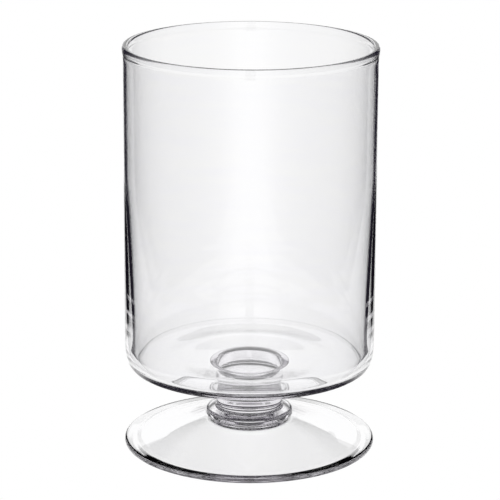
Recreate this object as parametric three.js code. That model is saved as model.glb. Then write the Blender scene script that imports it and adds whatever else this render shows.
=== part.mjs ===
import * as THREE from 'three';

// Footed cylinder vase in clear glass. Millimetres, +Z up, standing on z = 0.
// Four gathers of glass, joined hot, one on top of the other: a foot, a ring, a stem and a bowl.

// Overall sizes
const OVERALL_HEIGHT = 200;
const BOWL_RADIUS = 61.35;
const FOOT_RADIUS = 61.85;

// Hot joints: each gather sits flat on the one below it
const JOINT_GAP = 0;

// Stem: a plain solid cylinder with a small fillet below and a short flare into the bowl
const STEM_HEIGHT = 20.3;
const STEM_RADIUS = 16.1;
const STEM_FILLET = 0.8;
const STEM_FILLET_HEIGHT = 1.6;
const STEM_FLARE_WIDTH = 3.5;
const STEM_FLARE_HEIGHT = 2.4;

// Ring: a thick disc under the stem, with a rounded edge and a tucked-in foot
const RING_HEIGHT = 4.6;
const RING_OVERHANG = 5.3;
const RING_TUCK = 1.8;
const RING_FOOT_ROUNDING = 1.6;
const RING_TOP_ROUNDING = 1.6;
const RING_TOP_FALL = 0.3;

// Foot: a shallow, slightly hollow-sided cone of even thickness, on a flat resting ring
const FOOT_HUB_HEIGHT = 13.4;
const FOOT_EDGE_ROUNDING = 1.5;
const FOOT_SLOPE_AT_EDGE = 8;
const FOOT_SLOPE_AT_HUB = 20;
const FOOT_SLOPE_LENGTH = 13;
const FOOT_THICKNESS = 3.6;
const RESTING_RING_WIDTH = 4.2;

// Bowl: an open cylinder with a bead at the rim, a thicker base and an almost sharp inside corner
const RIM_BEAD_RADIUS = 1.5;
const RIM_PROUD = 0.4;
const RIM_BLEND = 4;
const WALL_AT_RIM = 1.7;
const WALL_AT_BASE = 4.3;
const WALL_TAPER_START = 95;
const WALL_LEAN = 1.4;
const WALL_LEAN_HEIGHT = 8;
const HEEL_WIDTH = 3.6;
const HEEL_HEIGHT = 11;
const UNDERSIDE_RISE = 2.4;
const FLOOR_THICKNESS = 3.5;
const FLOOR_FLAT_RADIUS = 32;
const FLOOR_EDGE_RISE = 1.8;
const FLOOR_CORNER = 0.6;

// Fineness of the turned shapes
const BOWL_SEGMENTS = 64;
const FOOT_SEGMENTS = 64;
const STEM_SEGMENTS = 48;

// Radii of the joints, each tied to the stem that passes the load down
const STEM_JOINT_RADIUS = STEM_RADIUS + STEM_FILLET;
const BOWL_JOINT_RADIUS = STEM_RADIUS + STEM_FLARE_WIDTH;
const RING_RADIUS = STEM_RADIUS + RING_OVERHANG;
const FOOT_JOINT_RADIUS = RING_RADIUS - RING_TUCK;

// Heights of the joints, from the table up
const RING_Z = FOOT_HUB_HEIGHT + JOINT_GAP;
const STEM_Z = RING_Z + RING_HEIGHT + JOINT_GAP;
const BOWL_Z = STEM_Z + STEM_HEIGHT + JOINT_GAP;
const FLOOR_Z = BOWL_Z + FLOOR_THICKNESS;

// One material per gather, all the same clear glass
function clearGlass() {
  return new THREE.MeshStandardMaterial({
    color: 0xf2f5f6,
    roughness: 0.03,
    metalness: 0,
    transparent: true,
    opacity: 0.35,
  });
}

function at(radius, height) {
  return new THREE.Vector2(radius, height);
}

// Points of an elliptical arc about a centre, between two angles in degrees
function arc(centre, width, height, fromDegrees, toDegrees, steps) {
  const points = [];
  for (let i = 0; i <= steps; i += 1) {
    const degrees = fromDegrees + ((toDegrees - fromDegrees) * i) / steps;
    const angle = THREE.MathUtils.degToRad(degrees);
    points.push(at(centre.x + width * Math.cos(angle), centre.y + height * Math.sin(angle)));
  }
  return points;
}

// Points of a cubic curve, which leaves and arrives along its two handles
function curve(start, startHandle, endHandle, end, steps) {
  return new THREE.CubicBezierCurve(start, startHandle, endHandle, end).getPoints(steps);
}

// Joins runs of points, leaving out any point that repeats the one before it
function join(...runs) {
  const profile = [];
  for (const point of runs.flat()) {
    const last = profile[profile.length - 1];
    if (!last || last.distanceTo(point) > 0.001) {
      profile.push(point);
    }
  }
  return profile;
}

// Turns a profile of radius and height about the vertical axis
function turned(name, profile, segments) {
  const geometry = new THREE.LatheGeometry(profile, segments);
  geometry.rotateX(Math.PI / 2);
  const mesh = new THREE.Mesh(geometry, clearGlass());
  mesh.name = name;
  return mesh;
}

// The foot's upper surface, from the rounded edge up to the joint under the ring
function footTop(restingOuter) {
  const edge = arc(at(restingOuter, FOOT_EDGE_ROUNDING), FOOT_EDGE_ROUNDING, FOOT_EDGE_ROUNDING,
    -90, 90 - FOOT_SLOPE_AT_EDGE, 8);
  const start = edge[edge.length - 1];
  const hub = at(FOOT_JOINT_RADIUS, FOOT_HUB_HEIGHT);
  const riseAtEdge = FOOT_SLOPE_LENGTH * Math.tan(THREE.MathUtils.degToRad(FOOT_SLOPE_AT_EDGE));
  const riseAtHub = FOOT_SLOPE_LENGTH * Math.tan(THREE.MathUtils.degToRad(FOOT_SLOPE_AT_HUB));
  const cone = curve(start, at(start.x - FOOT_SLOPE_LENGTH, start.y + riseAtEdge),
    at(hub.x + FOOT_SLOPE_LENGTH, hub.y - riseAtHub), hub, 12);
  return { edge, cone };
}

// The foot's underside: the cone again, one thickness lower, flattened under the ring
function footUnderside(cone, restingInner) {
  const crown = FOOT_HUB_HEIGHT - FOOT_THICKNESS;
  const lowest = FOOT_THICKNESS + 0.5;
  const parallel = cone
    .filter((point) => point.x > FOOT_JOINT_RADIUS + 1 && point.x < restingInner - 3)
    .filter((point) => point.y > lowest)
    .map((point) => at(point.x, point.y - FOOT_THICKNESS))
    .reverse();
  const first = parallel[0];
  const last = parallel[parallel.length - 1];
  const top = curve(at(0, crown), at(FOOT_JOINT_RADIUS * 0.5, crown),
    at(first.x - 4, first.y + 1.4), first, 6);
  const runOut = curve(last, at(last.x + 1.5, last.y - 0.2),
    at(restingInner - 1, 0), at(restingInner, 0), 3);
  return join(top, parallel, runOut);
}

function foot() {
  const restingOuter = FOOT_RADIUS - FOOT_EDGE_ROUNDING;
  const { edge, cone } = footTop(restingOuter);
  const underside = footUnderside(cone, restingOuter - RESTING_RING_WIDTH);
  return turned('foot', join(underside, edge, cone, [at(0, FOOT_HUB_HEIGHT)]), FOOT_SEGMENTS);
}

function ring() {
  const tuck = curve(at(FOOT_JOINT_RADIUS, RING_Z), at(RING_RADIUS - RING_TUCK * 0.5, RING_Z + 0.1),
    at(RING_RADIUS, RING_Z + RING_FOOT_ROUNDING * 0.5), at(RING_RADIUS, RING_Z + RING_FOOT_ROUNDING), 5);
  const shoulder = arc(at(RING_RADIUS - RING_TOP_ROUNDING, STEM_Z - RING_TOP_FALL - RING_TOP_ROUNDING),
    RING_TOP_ROUNDING, RING_TOP_ROUNDING, 0, 84, 6);
  const top = [at(STEM_JOINT_RADIUS, STEM_Z), at(0, STEM_Z)];
  return turned('ring', join([at(0, RING_Z)], tuck, shoulder, top), STEM_SEGMENTS);
}

function stem() {
  const fillet = curve(at(STEM_JOINT_RADIUS, STEM_Z), at(STEM_RADIUS + STEM_FILLET * 0.25, STEM_Z + 0.1),
    at(STEM_RADIUS, STEM_Z + STEM_FILLET_HEIGHT * 0.4), at(STEM_RADIUS, STEM_Z + STEM_FILLET_HEIGHT), 5);
  const flareZ = BOWL_Z - STEM_FLARE_HEIGHT;
  const flare = curve(at(STEM_RADIUS, flareZ), at(STEM_RADIUS, flareZ + STEM_FLARE_HEIGHT * 0.6),
    at(BOWL_JOINT_RADIUS - STEM_FLARE_WIDTH * 0.6, BOWL_Z - 0.5), at(BOWL_JOINT_RADIUS, BOWL_Z), 7);
  return turned('stem', join([at(0, STEM_Z)], fillet, flare, [at(0, BOWL_Z)]), STEM_SEGMENTS);
}

// The bowl's outside, from the stem joint out over the heel
function bowlOutside() {
  const heelCentre = at(BOWL_RADIUS - HEEL_WIDTH, BOWL_Z + UNDERSIDE_RISE + HEEL_HEIGHT);
  const heel = arc(heelCentre, HEEL_WIDTH, HEEL_HEIGHT, -84, 0, 10);
  const underside = curve(at(BOWL_JOINT_RADIUS, BOWL_Z), at(BOWL_JOINT_RADIUS + 14, BOWL_Z + 0.4),
    at(heel[0].x - 5, heel[0].y - 0.9), heel[0], 6);
  return join(underside, heel);
}

// The fire-polished rim: a round bead, a little proud of the wall outside and inside
function rimBead() {
  const centre = at(BOWL_RADIUS + RIM_PROUD - RIM_BEAD_RADIUS, OVERALL_HEIGHT - RIM_BEAD_RADIUS);
  const blendZ = centre.y - RIM_BLEND;
  const bead = arc(centre, RIM_BEAD_RADIUS, RIM_BEAD_RADIUS, 0, 180, 10);
  return join([at(BOWL_RADIUS, blendZ)], bead, [at(BOWL_RADIUS - WALL_AT_RIM, blendZ)]);
}

// The bowl's inside: the tapering wall, its lean at the bottom, the corner and the floor
function bowlInside() {
  const corner = at(BOWL_RADIUS - WALL_AT_BASE - WALL_LEAN, FLOOR_Z + FLOOR_EDGE_RISE + FLOOR_CORNER);
  const leanTop = at(corner.x + WALL_LEAN, corner.y + WALL_LEAN_HEIGHT);
  const taperTop = at(BOWL_RADIUS - WALL_AT_RIM, FLOOR_Z + WALL_TAPER_START);
  const wall = curve(taperTop, at(taperTop.x, taperTop.y - 24), at(leanTop.x, leanTop.y + 16), leanTop, 6);
  const lean = curve(leanTop, at(leanTop.x, leanTop.y - WALL_LEAN_HEIGHT * 0.6),
    at(corner.x + WALL_LEAN * 0.3, corner.y + WALL_LEAN_HEIGHT * 0.2), corner, 5);
  const rounding = arc(at(corner.x - FLOOR_CORNER, corner.y), FLOOR_CORNER, FLOOR_CORNER, 0, -84, 5);
  const end = rounding[rounding.length - 1];
  const floor = curve(end, at(end.x - 10, end.y - 0.5), at(FLOOR_FLAT_RADIUS + 8, FLOOR_Z),
    at(FLOOR_FLAT_RADIUS, FLOOR_Z), 6);
  return join(wall, lean, rounding, floor, [at(0, FLOOR_Z)]);
}

function bowl() {
  return turned('bowl', join([at(0, BOWL_Z)], bowlOutside(), rimBead(), bowlInside()), BOWL_SEGMENTS);
}

const vase = new THREE.Group();
vase.name = 'footed_cylinder_vase';
vase.add(foot(), ring(), stem(), bowl());

export default vase;
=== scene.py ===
# %% [markdown]
# # A footed cylinder vase in clear glass
#
# The vase is four gathers of hot glass, joined on the blowing iron: a wide round foot, a thick
# ring, a short solid stem and an open cylinder with a fire-polished rim. Every piece is round,
# so each is made here as the glassmaker makes it, by turning a profile about one axis.
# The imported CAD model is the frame: it fixes where each piece starts and ends.

# %% Load the frame
import math

import bmesh
import bpy
from mathutils import Matrix, Vector, noise


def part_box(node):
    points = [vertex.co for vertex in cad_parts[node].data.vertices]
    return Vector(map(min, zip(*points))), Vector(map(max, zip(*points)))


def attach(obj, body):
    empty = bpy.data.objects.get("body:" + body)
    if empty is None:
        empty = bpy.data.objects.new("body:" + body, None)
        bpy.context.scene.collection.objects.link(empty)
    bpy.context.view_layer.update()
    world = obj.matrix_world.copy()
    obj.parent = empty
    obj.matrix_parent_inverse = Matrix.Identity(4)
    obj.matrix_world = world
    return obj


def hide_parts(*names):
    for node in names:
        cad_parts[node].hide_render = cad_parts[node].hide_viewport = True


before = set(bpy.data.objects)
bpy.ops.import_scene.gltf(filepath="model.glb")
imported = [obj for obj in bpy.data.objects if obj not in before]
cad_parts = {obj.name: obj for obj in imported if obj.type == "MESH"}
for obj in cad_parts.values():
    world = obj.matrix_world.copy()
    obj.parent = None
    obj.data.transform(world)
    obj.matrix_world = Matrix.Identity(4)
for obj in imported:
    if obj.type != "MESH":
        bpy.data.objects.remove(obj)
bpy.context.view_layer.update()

# %% [markdown]
# ## Heights and radii
#
# The joints between the gathers lie at the heights where one CAD node ends and the next begins,
# and each piece's widest radius is half its node's width. They could be typed in again, but
# reading them from the frame keeps the glass and the CAD together, whatever size the CAD has.

# %% Read the joints' heights and the widest radii
MM = 0.001


def lowest(node):
    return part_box(node)[0].z


def highest(node):
    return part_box(node)[1].z


def widest(node):
    low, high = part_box(node)
    return (high.x - low.x) / 2


RING_Z = lowest("ring")
STEM_Z = lowest("stem")
BOWL_Z = lowest("bowl")
RIM_Z = highest("bowl")
FOOT_RADIUS = widest("foot")
RING_RADIUS = widest("ring")
RIM_RADIUS = widest("bowl")
print("joints at, mm:", [round(z / MM, 2) for z in (RING_Z, STEM_Z, BOWL_Z)])
print("rim at, mm:", round(RIM_Z / MM, 2), "and foot radius, mm:", round(FOOT_RADIUS / MM, 2))

# %% [markdown]
# ## Drawing a profile
#
# A turned piece is all in its profile, a line of radius and height. Three kinds of run are
# enough: a straight line, an arc for anything that the flame or the block has rounded, and a
# cubic curve with two handles for a slope that leaves and arrives in a given direction. A
# Blender curve with a screw modifier could do the same, but lists of points are easier to
# offset, and the foot needs that. Glass shows every flat in a curve, so the steps are small.

# %% Runs of a profile
def line(start, end, steps):
    return [tuple(start[k] + (end[k] - start[k]) * i / steps for k in (0, 1))
            for i in range(steps + 1)]


def arc(centre, width, height, start, end, steps):
    points = []
    for i in range(steps + 1):
        angle = math.radians(start + (end - start) * i / steps)
        points.append((centre[0] + width * math.cos(angle), centre[1] + height * math.sin(angle)))
    return points


def curve(start, start_handle, end_handle, end, steps):
    points = []
    for i in range(steps + 1):
        t = i / steps
        weights = ((1 - t) ** 3, 3 * t * (1 - t) ** 2, 3 * t * t * (1 - t), t ** 3)
        ends = (start, start_handle, end_handle, end)
        points.append(tuple(sum(w * p[k] for w, p in zip(weights, ends)) for k in (0, 1)))
    return points


SAME_POINT = 0.0005 * MM


def join(*runs):
    profile = []
    for point in (p for run in runs for p in run):
        if not profile or math.dist(profile[-1], point) > SAME_POINT:
            profile.append(point)
    return profile


def flat(radius, height, steps=6):
    return line((radius, height), (0, height), steps)


print("a quarter arc of 8 steps has", len(arc((0, 0), MM, MM, 0, 90, steps=8)), "points")

# %% [markdown]
# ## Turning a profile
#
# A lathe swings the profile round and joins each ring of points to the next. The points on the
# axis are single, so the piece is one closed skin with no hole, which glass needs: a ray that
# enters has to find a way out. Steps of a degree and a half keep the facets out of the
# reflections. A piece may be given its unevenness, a function that moves each point a little.

# %% Turn a profile into a closed piece
TURNS = 240
ON_AXIS = 0.001 * MM


def turned(name, profile, unevenness=None):
    mesh = bmesh.new()
    rings = []
    for radius, height in profile:
        if radius < ON_AXIS:
            rings.append([mesh.verts.new((0, 0, height))])
            continue
        ring = []
        for i in range(TURNS):
            angle = math.tau * i / TURNS
            r, z = unevenness(angle, radius, height) if unevenness else (radius, height)
            ring.append(mesh.verts.new((r * math.cos(angle), r * math.sin(angle), z)))
        rings.append(ring)
    for inner, outer in zip(rings, rings[1:]):
        for i in range(TURNS):
            j = (i + 1) % TURNS
            if len(inner) == 1:
                mesh.faces.new((inner[0], outer[j], outer[i]))
            elif len(outer) == 1:
                mesh.faces.new((inner[i], inner[j], outer[0]))
            else:
                mesh.faces.new((inner[i], inner[j], outer[j], outer[i]))
    bmesh.ops.recalc_face_normals(mesh, faces=mesh.faces)
    for face in mesh.faces:
        face.smooth = True
    data = bpy.data.meshes.new(name)
    mesh.to_mesh(data)
    volume = mesh.calc_volume(signed=True)
    mesh.free()
    piece = bpy.data.objects.new(name, data)
    bpy.context.scene.collection.objects.link(piece)
    print(name, "faces:", len(data.polygons), "volume, cm3:", round(volume * 1e6, 1))
    return piece


# %% [markdown]
# ## The waviness of hand-made glass
#
# The outside of the bowl was turned in a wet wooden block, so it is nearly true, but the inside
# was shaped only by breath and by heat. It wanders by a few hundredths of a millimetre over two
# or three centimetres, and so does the top of the foot, which was spun out with a paddle. That
# makes the dark lines along the walls swell and thin a little. A bump in the material would not
# move those lines as a real change in thickness does, so the points themselves are moved.

# %% Waviness, as a smooth wander over a few centimetres
def wander(angle, radius, height, size, stretch, seed):
    place = Vector((radius * math.cos(angle), radius * math.sin(angle), height / stretch))
    return noise.noise(place / size + Vector((seed, 0, 0)))


def fade(value, low, high):
    t = min(max((value - low) / (high - low), 0), 1)
    return t * t * (3 - 2 * t)


print("wander at one place:", round(wander(0.3, 0.056, 0.1, 0.03, 2, 3), 3))

# %% [markdown]
# ## The foot
#
# The foot was spun out of a flat gather into a shallow cone with slightly hollow sides. Its
# underside follows the top at an even thickness, and that is what keeps it clear: light that
# goes in at the top leaves below in the same direction. It stands on a flat ring near the edge.
# The cone is one curve, and the underside is the same curve moved down by the thickness.

# %% The foot's sizes
STEM_RADIUS = 16.1 * MM
RING_TUCK = 1.8 * MM
FOOT_JOINT_RADIUS = RING_RADIUS - RING_TUCK
FOOT_EDGE = 1.5 * MM
FOOT_THICKNESS = 3.6 * MM
RESTING_WIDTH = 4.2 * MM
SLOPE_LENGTH = 13 * MM
SLOPE_AT_EDGE = math.tan(math.radians(8))
SLOPE_AT_HUB = math.tan(math.radians(20))
UNDERSIDE_MARGIN = 3 * MM
UNDERSIDE_LIFT = 0.5 * MM
CROWN_Z = RING_Z - FOOT_THICKNESS
print("crown of the hollow under the foot, mm:", round(CROWN_Z / MM, 2))

# %% The foot's profile
resting_outer = FOOT_RADIUS - FOOT_EDGE
resting_inner = resting_outer - RESTING_WIDTH
edge = arc((resting_outer, FOOT_EDGE), FOOT_EDGE, FOOT_EDGE, -90, 82, steps=24)
hub = (FOOT_JOINT_RADIUS, RING_Z)
cone = curve(edge[-1], (edge[-1][0] - SLOPE_LENGTH, edge[-1][1] + SLOPE_LENGTH * SLOPE_AT_EDGE),
             (hub[0] + SLOPE_LENGTH, hub[1] - SLOPE_LENGTH * SLOPE_AT_HUB), hub, steps=60)
lowered = [(r, z - FOOT_THICKNESS) for r, z in reversed(cone)
           if hub[0] + MM < r < resting_inner - UNDERSIDE_MARGIN
           and z > FOOT_THICKNESS + UNDERSIDE_LIFT]
first, last = lowered[0], lowered[-1]
crown = curve((0, CROWN_Z), (hub[0] / 2, CROWN_Z),
              (first[0] - 4 * MM, first[1] + 1.4 * MM), first, steps=24)
run_out = curve(last, (last[0] + 1.5 * MM, last[1] - 0.2 * MM),
                (resting_inner - MM, 0), (resting_inner, 0), steps=12)
resting_ring = line((resting_inner, 0), (resting_outer, 0), steps=4)
print("resting ring, mm:", round(resting_inner / MM, 2), "to", round(resting_outer / MM, 2))

# %% Turn the foot
FOOT_WAVINESS = 0.04 * MM
FOOT_WAVE_LENGTH = 21 * MM


def foot_unevenness(angle, radius, height):
    on_top = fade(height, 2.8 * MM, 4 * MM) * fade(radius, hub[0], hub[0] + 6 * MM)
    move = wander(angle, radius, 0, FOOT_WAVE_LENGTH, stretch=1, seed=7) * FOOT_WAVINESS
    return radius, height + move * on_top


foot_profile = join(crown, lowered, run_out, resting_ring, edge, cone, flat(hub[0], RING_Z))
foot = turned("foot_glass", foot_profile, foot_unevenness)

# %% [markdown]
# ## The ring
#
# The ring is a merese, a disc of glass put between foot and stem to make the joint strong. Its
# edge was rounded by the flame, more above than below, and its underside tucks in to the foot.
# Short arcs and a curve give that section.

# %% The ring
STEM_FILLET = 0.8 * MM
STEM_JOINT_RADIUS = STEM_RADIUS + STEM_FILLET
RING_ROUNDING = 1.6 * MM
RING_TOP_FALL = 0.3 * MM
tuck = curve((hub[0], RING_Z), (RING_RADIUS - 0.9 * MM, RING_Z + 0.1 * MM),
             (RING_RADIUS, RING_Z + 0.5 * RING_ROUNDING),
             (RING_RADIUS, RING_Z + RING_ROUNDING), steps=16)
shoulder = arc((RING_RADIUS - RING_ROUNDING, STEM_Z - RING_TOP_FALL - RING_ROUNDING),
               RING_ROUNDING, RING_ROUNDING, 0, 84, steps=20)
ring_top = line(shoulder[-1], (STEM_JOINT_RADIUS, STEM_Z), steps=6)
ring = turned("ring_glass", join(flat(hub[0], RING_Z)[::-1], tuck, shoulder, ring_top,
                                 flat(STEM_JOINT_RADIUS, STEM_Z)))

# %% [markdown]
# ## The stem
#
# The stem is a plain solid post. Where hot glass meets hot glass the surface pulls into a small
# fillet, so the post has one at the ring and a wider one, a flare, where it carries the bowl.
# Seen from above through the bowl's floor, that flare is the dark-ended ring in the middle of
# the bowl. There is nothing in the floor itself.

# %% The stem
FLARE_WIDTH = 3.5 * MM
BOWL_JOINT_RADIUS = STEM_RADIUS + FLARE_WIDTH
FLARE_HEIGHT = 2.4 * MM
FILLET_HEIGHT = 1.6 * MM
fillet = curve((STEM_JOINT_RADIUS, STEM_Z), (STEM_RADIUS + 0.2 * MM, STEM_Z + 0.1 * MM),
               (STEM_RADIUS, STEM_Z + 0.4 * FILLET_HEIGHT),
               (STEM_RADIUS, STEM_Z + FILLET_HEIGHT), steps=12)
flare = curve((STEM_RADIUS, BOWL_Z - FLARE_HEIGHT), (STEM_RADIUS, BOWL_Z - 0.4 * FLARE_HEIGHT),
              (BOWL_JOINT_RADIUS - 2.1 * MM, BOWL_Z - 0.5 * MM),
              (BOWL_JOINT_RADIUS, BOWL_Z), steps=24)
post = line(fillet[-1], flare[0], steps=8)
stem = turned("stem_glass", join(flat(STEM_JOINT_RADIUS, STEM_Z)[::-1], fillet, post, flare,
                                 flat(BOWL_JOINT_RADIUS, BOWL_Z)))

# %% [markdown]
# ## The bowl
#
# The bowl is a blown cylinder. Its wall is thin at the top and more than twice as thick at the
# bottom, because the glass sags while it is hot. Outside it rounds over a heel, inside it leans
# in and meets the floor in an almost sharp corner, so the glass stays thick round the bend. The
# rim was melted in the flame into a round bead. The bowl could be a tube with a floor joined
# in, but glass with a seam inside shows it, so one profile runs outside, over the bead and
# back down inside.

# %% The bowl's sizes
RIM_PROUD = 0.4 * MM
BOWL_RADIUS = RIM_RADIUS - RIM_PROUD
RIM_BEAD = 1.5 * MM
RIM_BLEND = 4 * MM
WALL_AT_RIM = 1.7 * MM
WALL_AT_BASE = 4.3 * MM
TAPER_HEIGHT = 95 * MM
HEEL_WIDTH = 3.6 * MM
HEEL_HEIGHT = 11 * MM
UNDERSIDE_RISE = 2.4 * MM
FLOOR_THICKNESS = 3.5 * MM
FLOOR_Z = BOWL_Z + FLOOR_THICKNESS
FLOOR_EDGE_RISE = 1.8 * MM
FLOOR_FLAT_RADIUS = 32 * MM
CORNER = 0.6 * MM
LEAN = 1.4 * MM
LEAN_HEIGHT = 8 * MM
print("floor's top at, mm:", round(FLOOR_Z / MM, 2))

# %% The bowl's outside and its rim
heel_centre = (BOWL_RADIUS - HEEL_WIDTH, BOWL_Z + UNDERSIDE_RISE + HEEL_HEIGHT)
heel = arc(heel_centre, HEEL_WIDTH, HEEL_HEIGHT, -84, 0, steps=40)
underside = curve((BOWL_JOINT_RADIUS, BOWL_Z), (BOWL_JOINT_RADIUS + 14 * MM, BOWL_Z + 0.4 * MM),
                  (heel[0][0] - 5 * MM, heel[0][1] - 0.9 * MM), heel[0], steps=40)
bead_centre = (RIM_RADIUS - RIM_BEAD, RIM_Z - RIM_BEAD)
blend_z = bead_centre[1] - RIM_BLEND


def neck(wall_radius, bead_radius):
    middle = (blend_z + bead_centre[1]) / 2
    return curve((wall_radius, blend_z), (wall_radius, middle), (bead_radius, middle),
                 (bead_radius, bead_centre[1]), steps=12)


wall = line(heel[-1], (BOWL_RADIUS, blend_z), steps=60)
bead = arc(bead_centre, RIM_BEAD, RIM_BEAD, 0, 180, steps=36)
outside = join(underside, heel, wall, neck(BOWL_RADIUS, RIM_RADIUS), bead,
               neck(BOWL_RADIUS - WALL_AT_RIM, RIM_RADIUS - 2 * RIM_BEAD)[::-1])
print("outside of the bowl, points:", len(outside))

# %% The bowl's inside
corner = (BOWL_RADIUS - WALL_AT_BASE - LEAN, FLOOR_Z + FLOOR_EDGE_RISE + CORNER)
lean_top = (corner[0] + LEAN, corner[1] + LEAN_HEIGHT)
taper_top = (BOWL_RADIUS - WALL_AT_RIM, FLOOR_Z + TAPER_HEIGHT)
taper = curve(taper_top, (taper_top[0], taper_top[1] - 24 * MM),
              (lean_top[0], lean_top[1] + 16 * MM), lean_top, steps=40)
lean = curve(lean_top, (lean_top[0], lean_top[1] - 0.6 * LEAN_HEIGHT),
             (corner[0] + 0.3 * LEAN, corner[1] + 0.2 * LEAN_HEIGHT), corner, steps=16)
rounding = arc((corner[0] - CORNER, corner[1]), CORNER, CORNER, 0, -84, steps=16)
floor_edge = rounding[-1]
floor_run = curve(floor_edge, (floor_edge[0] - 10 * MM, floor_edge[1] - 0.5 * MM),
                  (FLOOR_FLAT_RADIUS + 8 * MM, FLOOR_Z), (FLOOR_FLAT_RADIUS, FLOOR_Z), steps=40)
upper_wall = line((taper_top[0], blend_z), taper_top, steps=40)
floor_middle = line((FLOOR_FLAT_RADIUS, FLOOR_Z), (0, FLOOR_Z), steps=24)
inside = join(upper_wall, taper, lean, rounding, floor_run, floor_middle)
print("inside of the bowl, points:", len(inside))

# %% [markdown]
# The unevenness is kept away from the underside, which has to meet the stem, and from the rim,
# which the flame made true. On the wall the wander is drawn out upwards, as the bubble was.

# %% Turn the bowl
WALL_WAVINESS, WALL_WAVE_LENGTH, WALL_STRETCH = 0.05 * MM, 26 * MM, 2.2
FLOOR_WAVINESS, FLOOR_WAVE_LENGTH = 0.03 * MM, 17 * MM


def bowl_unevenness(angle, radius, height):
    if height < BOWL_Z + 3 * MM:
        return radius, height
    above_floor = fade(height, corner[1], corner[1] + 20 * MM)
    below_rim = 1 - fade(height, RIM_Z - 12 * MM, RIM_Z - 6 * MM)
    on_inside = 1 - fade(radius, BOWL_RADIUS - 2 * MM, BOWL_RADIUS - MM)
    across = wander(angle, radius, height, WALL_WAVE_LENGTH, WALL_STRETCH, seed=3)
    across *= WALL_WAVINESS * (above_floor * below_rim) * on_inside
    on_floor = (1 - fade(height, corner[1] - 0.5 * MM, corner[1])) * fade(radius, 2 * MM, 14 * MM)
    up = wander(angle, radius, 0, FLOOR_WAVE_LENGTH, stretch=1, seed=11) * FLOOR_WAVINESS * on_floor
    return radius + across, height + up


bowl_profile = join(flat(BOWL_JOINT_RADIUS, BOWL_Z)[::-1], outside, inside)
bowl = turned("bowl_glass", bowl_profile, bowl_unevenness)

# %% [markdown]
# ## Colours and nodes
#
# Colours are written as sRGB hex, as a paint chart or a camera gives them, and one function
# turns them to the linear values that Blender mixes with. One more function adds a node with
# its settings and its links, so that a material below reads as a list of its layers.

# %% Helpers for colours and nodes
def linear(hex_colour):
    channels = (int(hex_colour[i:i + 2], 16) / 255 for i in (1, 3, 5))
    return tuple(c / 12.92 if c <= 0.04045 else ((c + 0.055) / 1.055) ** 2.4
                 for c in channels) + (1.0,)


def add(tree, kind, settings=(), **links):
    node = tree.nodes.new(kind)
    for name, value in dict(settings).items():
        if name in node.inputs:
            node.inputs[name].default_value = value
        else:
            setattr(node, name, value)
    for name, source in links.items():
        tree.links.new(source, node.inputs[name.replace("_", " ")])
    return node


def material(name):
    made = bpy.data.materials.new(name)
    made.use_nodes = True
    made.node_tree.nodes.clear()
    return made, made.node_tree


print("mid grey #808080 is linear", round(linear("#808080")[0], 3))

# %% [markdown]
# ## Soda-lime glass, fire-polished
#
# Vase glass is soda-lime glass with an IOR of 1.52, and its surface was left as the flame left
# it, so it has no grain at all and a roughness of zero. Two things still show. Glass that was
# gathered by hand has cords, threads of slightly different glass that run with the turning and
# give faint streaks; they are a few millimetres apart. And the skin has a very shallow orange
# peel, about 9 mm across, from the block and the paddle. The streaks are a stretched noise in
# the colour, kept within one percent, and the peel is a bump of about a thousandth of a
# millimetre, because deeper ones made the clear glass look rippled. The body colour of the
# glass is a volume, because a thick piece has to look darker than a thin one. It is a faint
# violet, as in glass that was cleared with manganese.

# %% The glass
CORD_SPACING = 4 * MM
CORD_STRETCH = 0.12
PEEL_SIZE = 9 * MM
PEEL_DEPTH = 0.0015 * MM
STREAK_START, STREAK_END = 0.35, 0.65
GLASS_IOR = 1.52

glass, tree = material("soda_lime_glass_fire_polished")
place = add(tree, "ShaderNodeTexCoord")
along = add(tree, "ShaderNodeMapping", {"Scale": (CORD_STRETCH, CORD_STRETCH, 1)},
            Vector=place.outputs["Object"])
cords = add(tree, "ShaderNodeTexNoise", {"Scale": 1 / CORD_SPACING, "Detail": 3.0, "Roughness": 0.55},
            Vector=along.outputs["Vector"])
streaks = add(tree, "ShaderNodeValToRGB", Fac=cords.outputs["Fac"])
stops = ((STREAK_START, "#fefeff"), (STREAK_END, "#ffffff"))
for stop, (position, colour) in zip(streaks.color_ramp.elements, stops):
    stop.position = position
    stop.color = linear(colour)
print(glass.name, "cords, mm apart:", round(CORD_SPACING / MM, 1))

# %% The glass's skin and its body
peel = add(tree, "ShaderNodeTexNoise", {"Scale": 1 / PEEL_SIZE, "Detail": 1.0},
           Vector=place.outputs["Object"])
skin = add(tree, "ShaderNodeBump", {"Strength": 0.5, "Distance": PEEL_DEPTH},
           Height=peel.outputs["Fac"])
surface = add(tree, "ShaderNodeBsdfPrincipled",
              {"Roughness": 0.0, "IOR": GLASS_IOR, "Transmission Weight": 1.0},
              Base_Color=streaks.outputs["Color"], Normal=skin.outputs["Normal"])
body = add(tree, "ShaderNodeVolumeAbsorption", {"Color": linear("#bdb2c6"), "Density": 2.5})
add(tree, "ShaderNodeOutputMaterial", Surface=surface.outputs["BSDF"], Volume=body.outputs["Volume"])
print(glass.name, "nodes:", len(tree.nodes))

# %% [markdown]
# ## Joints that can't be seen
#
# Where two gathers were joined hot there is no surface left: the glass runs through. The pieces
# here are closed, so each has a flat face on the joint, and plain glass would mirror there.
# Deleting the faces would leave holes in the pieces. Instead those faces get a second material
# that lets every ray straight through, and the light crosses the joint as it does in the real
# vase.

# %% The fused joints
fused, tree = material("fused_joint_no_surface")
clear = add(tree, "ShaderNodeBsdfTransparent", {"Color": linear("#ffffff")})
add(tree, "ShaderNodeOutputMaterial", Surface=clear.outputs["BSDF"])


ON_PLANE = 0.001 * MM
ON_EDGE = 0.01 * MM


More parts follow.
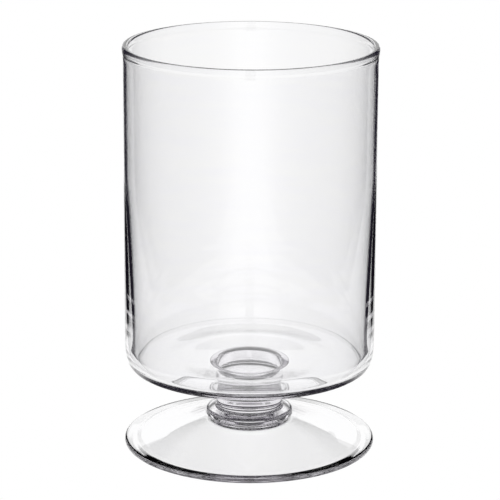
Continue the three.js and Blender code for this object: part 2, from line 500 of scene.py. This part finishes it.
def dress(piece, node, joints):
    piece.data.materials.append(glass)
    piece.data.materials.append(fused)
    found = 0
    for face in piece.data.polygons:
        points = [piece.data.vertices[v].co for v in face.vertices]
        for height, radius in joints:
            level = all(abs(point.z - height) < ON_PLANE for point in points)
            within = all(math.hypot(point.x, point.y) < radius + ON_EDGE for point in points)
            if level and within:
                face.material_index = 1
                found += 1
    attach(piece, "root")
    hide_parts(node)
    print(piece.name, "joint faces:", found)


foot_joint = (RING_Z, FOOT_JOINT_RADIUS)
stem_joint = (STEM_Z, STEM_JOINT_RADIUS)
bowl_joint = (BOWL_Z, BOWL_JOINT_RADIUS)
dress(foot, "foot", [foot_joint])
dress(ring, "ring", [foot_joint, stem_joint])
dress(stem, "stem", [stem_joint, bowl_joint])
dress(bowl, "bowl", [bowl_joint])

# %% [markdown]
# ## The table
#
# Clear glass shows only what stands around it, so its studio is a bright field with dark
# sides: the glass stands on a glowing table before a lit backdrop, and black cards just out of
# view draw its edges. The table is a glowing sheet whose glow carries a painted reflection and
# a painted shade. Seen at a low angle it glows white everywhere, a painted reflection of the
# backdrop. Seen steeply it glows white only away from the vase, and a disc of painted shade
# stays dark round the foot, which blackens the bowl's heel, where the light turns sharply down.
# The table could be a real mirror, but a plain glow that changes with the angle keeps it evenly
# white in view. It lies a hair below the foot, because two surfaces in one plane fight.

# %% A glowing table, with painted reflection and painted shade
scene = bpy.context.scene
scene.view_settings.view_transform = "Standard"
TABLE_HALF = 6.0
TABLE_Z = -0.2 * MM
# Painted shade and painted reflection: within the first radius round the axis the glow is dark, which
# is the painted shade, and from the second radius it is full white. Between the two Facing values the
# glow rises from that dark level to white, which is the painted reflection.
PAINTED_SHADE_RADIUS, PAINTED_SHADE_EDGE = 0.10, 0.15
STEEP, SHALLOW = 0.34, 0.46
PAINTED_SHADE_GLOW = 0.02


def panel(name, corners, finish):
    data = bpy.data.meshes.new(name)
    data.from_pydata(corners, [], [tuple(range(len(corners)))])
    data.materials.append(finish)
    made = bpy.data.objects.new(name, data)
    scene.collection.objects.link(made)
    return made


painted_table_glow, tree = material("table_glow_painted_reflection_and_shade")
# Painted reflection: the glow follows the angle the table is seen at. It is white when seen low, as a
# mirror of the backdrop would be, and dark when seen steeply.
angle = add(tree, "ShaderNodeLayerWeight", {"Blend": 0.5})
painted_reflection = add(tree, "ShaderNodeMapRange",
            {"From Min": STEEP, "From Max": SHALLOW, "To Min": PAINTED_SHADE_GLOW, "To Max": 1.0},
            Value=angle.outputs["Facing"])
place = add(tree, "ShaderNodeTexCoord")
# Painted shade: the glow goes from dark near the axis to white further out, and the brighter of the two
# glows is used.
away = add(tree, "ShaderNodeVectorMath", {"operation": "LENGTH"}, Vector=place.outputs["Object"])
outside_painted_shade = add(tree, "ShaderNodeMapRange", {"From Min": PAINTED_SHADE_RADIUS, "From Max": PAINTED_SHADE_EDGE},
             Value=away.outputs["Value"])
brighter = add(tree, "ShaderNodeMath", {"operation": "MAXIMUM"})
tree.links.new(painted_reflection.outputs["Result"], brighter.inputs[0])
tree.links.new(outside_painted_shade.outputs["Result"], brighter.inputs[1])
glow = add(tree, "ShaderNodeEmission", {"Color": linear("#ffffff")}, Strength=brighter.outputs["Value"])
add(tree, "ShaderNodeOutputMaterial", Surface=glow.outputs["Emission"])
around = ((-1, -1), (1, -1), (1, 1), (-1, 1))
table = panel("table", [(x * TABLE_HALF, y * TABLE_HALF, TABLE_Z) for x, y in around], painted_table_glow)
print("table, m:", 2 * TABLE_HALF, "square")

# %% [markdown]
# ## The camera
#
# The camera looks down on the vase by about sixteen degrees from a little over a metre, with a
# long lens, so the rim and the foot are open ellipses and the walls stay nearly upright.

# %% The camera
CAMERA_BACK, CAMERA_UP = 1.1382, 0.4207
LOOK_DOWN, ROLL = math.radians(15.83), math.radians(0.27)
SENSOR_MM, LENS_MM = 36, 174.49
camera = bpy.data.objects.new("camera", bpy.data.cameras.new("camera"))
scene.collection.objects.link(camera)
scene.camera = camera
camera.data.sensor_width = SENSOR_MM
camera.data.lens = LENS_MM
camera.data.clip_start = 0.05
camera.data.clip_end = 50
camera.matrix_world = (Matrix.Translation((0, -CAMERA_BACK, CAMERA_UP))
                       @ Matrix.Rotation(math.pi / 2 - LOOK_DOWN, 4, "X")
                       @ Matrix.Rotation(ROLL, 4, "Z"))
half_view = math.degrees(math.atan(camera.data.sensor_width / 2 / camera.data.lens))
print("half the view, degrees:", round(half_view, 2))

# %% [markdown]
# ## The backdrop
#
# The backdrop is a white panel well behind the vase, lit evenly. In a studio the panels round a
# piece of glass are moved along with the camera, so here they are the camera's children.

# %% The backdrop
BACKDROP_AWAY, BACKDROP_HALF_WIDE, BACKDROP_HALF_HIGH = 8.0, 2.0, 6.0


def on_camera(made):
    made.parent = camera
    made.matrix_parent_inverse = Matrix.Identity(4)
    return made


cloth, tree = material("white_backdrop_lit_evenly")
lamp = add(tree, "ShaderNodeEmission", {"Color": linear("#ffffff"), "Strength": 1.0})
add(tree, "ShaderNodeOutputMaterial", Surface=lamp.outputs["Emission"])
backdrop = on_camera(panel("backdrop", [(x * BACKDROP_HALF_WIDE, y * BACKDROP_HALF_HIGH, -BACKDROP_AWAY)
                                        for x, y in around], cloth))
print("backdrop, m from the camera:", BACKDROP_AWAY)

# %% [markdown]
# ## Cards along the sides
#
# A card stands along each side of the view, just out of it. Light that the wall of the bowl
# bends sharply sideways lands on a card, and that draws the dark line down each side. The cards
# end a little way behind the vase, so that light bent only a few degrees passes them and the
# lines stay narrow. Towards the camera they are sprayed from black to white. The front of the
# bowl mirrors that part, and a card with a hard end would show there as a bright stripe.

# %% A card sprayed from white to black
CARD_NEAR, CARD_FAR, CARD_HALF = 0.5, 1.55, 2.0
SPRAY_START, SPRAY_END = 0.8, 1.28
sprayed, tree = material("card_sprayed_white_to_black")
place = add(tree, "ShaderNodeTexCoord")
parts = add(tree, "ShaderNodeSeparateXYZ", Vector=place.outputs["Object"])
spray = add(tree, "ShaderNodeMapRange", {"interpolation_type": "SMOOTHSTEP",
                                         "From Min": -SPRAY_START, "From Max": -SPRAY_END},
            Value=parts.outputs["Z"])
shade = add(tree, "ShaderNodeMix", {"data_type": "RGBA"})
tree.links.new(spray.outputs["Result"], shade.inputs["Factor"])
colours = [socket for socket in shade.inputs if socket.type == "RGBA"]
colours[0].default_value, colours[1].default_value = linear("#fafafa"), linear("#211e29")
mixed = [socket for socket in shade.outputs if socket.type == "RGBA"][0]
lamp = add(tree, "ShaderNodeEmission", Color=mixed)
add(tree, "ShaderNodeOutputMaterial", Surface=lamp.outputs["Emission"])
print(sprayed.name, "fades over, m:", round(SPRAY_END - SPRAY_START, 2))

# %% Stand the cards
LEFT_CARD_ANGLE, RIGHT_CARD_ANGLE = 6.05, 5.95


def side_card(name, side, degrees):
    near, far = (side * away * math.tan(math.radians(degrees)) for away in (CARD_NEAR, CARD_FAR))
    corners = [(near, -CARD_HALF, -CARD_NEAR), (far, -CARD_HALF, -CARD_FAR),
               (far, CARD_HALF, -CARD_FAR), (near, CARD_HALF, -CARD_NEAR)]
    return on_camera(panel(name, corners, sprayed))


side_card("card_left", -1, LEFT_CARD_ANGLE)
side_card("card_right", 1, RIGHT_CARD_ANGLE)
print("cards, degrees out of view:", [round(angle - half_view, 2)
                                      for angle in (LEFT_CARD_ANGLE, RIGHT_CARD_ANGLE)])

# %% [markdown]
# ## The dark room
#
# Above the backdrop the room is almost black, which gives the rim and the foot's edge their
# dark lines. Light goes through up to a dozen surfaces here and also runs along inside the
# floor of the bowl, so the light paths are allowed to be long.

# %% The room and the light paths
ROOM_GLOW = 0.02
LONGEST_PATH, MIRRORED_PATH = 32, 16
world = bpy.data.worlds.new("dark_room")
scene.world = world
world.use_nodes = True
room = world.node_tree.nodes["Background"]
room.inputs["Color"].default_value = linear("#cfc8e0")
room.inputs["Strength"].default_value = ROOM_GLOW
scene.cycles.max_bounces = LONGEST_PATH
scene.cycles.transmission_bounces = LONGEST_PATH
scene.cycles.glossy_bounces = MIRRORED_PATH
scene.cycles.transparent_max_bounces = LONGEST_PATH
print("light paths up to", scene.cycles.max_bounces, "bounces")
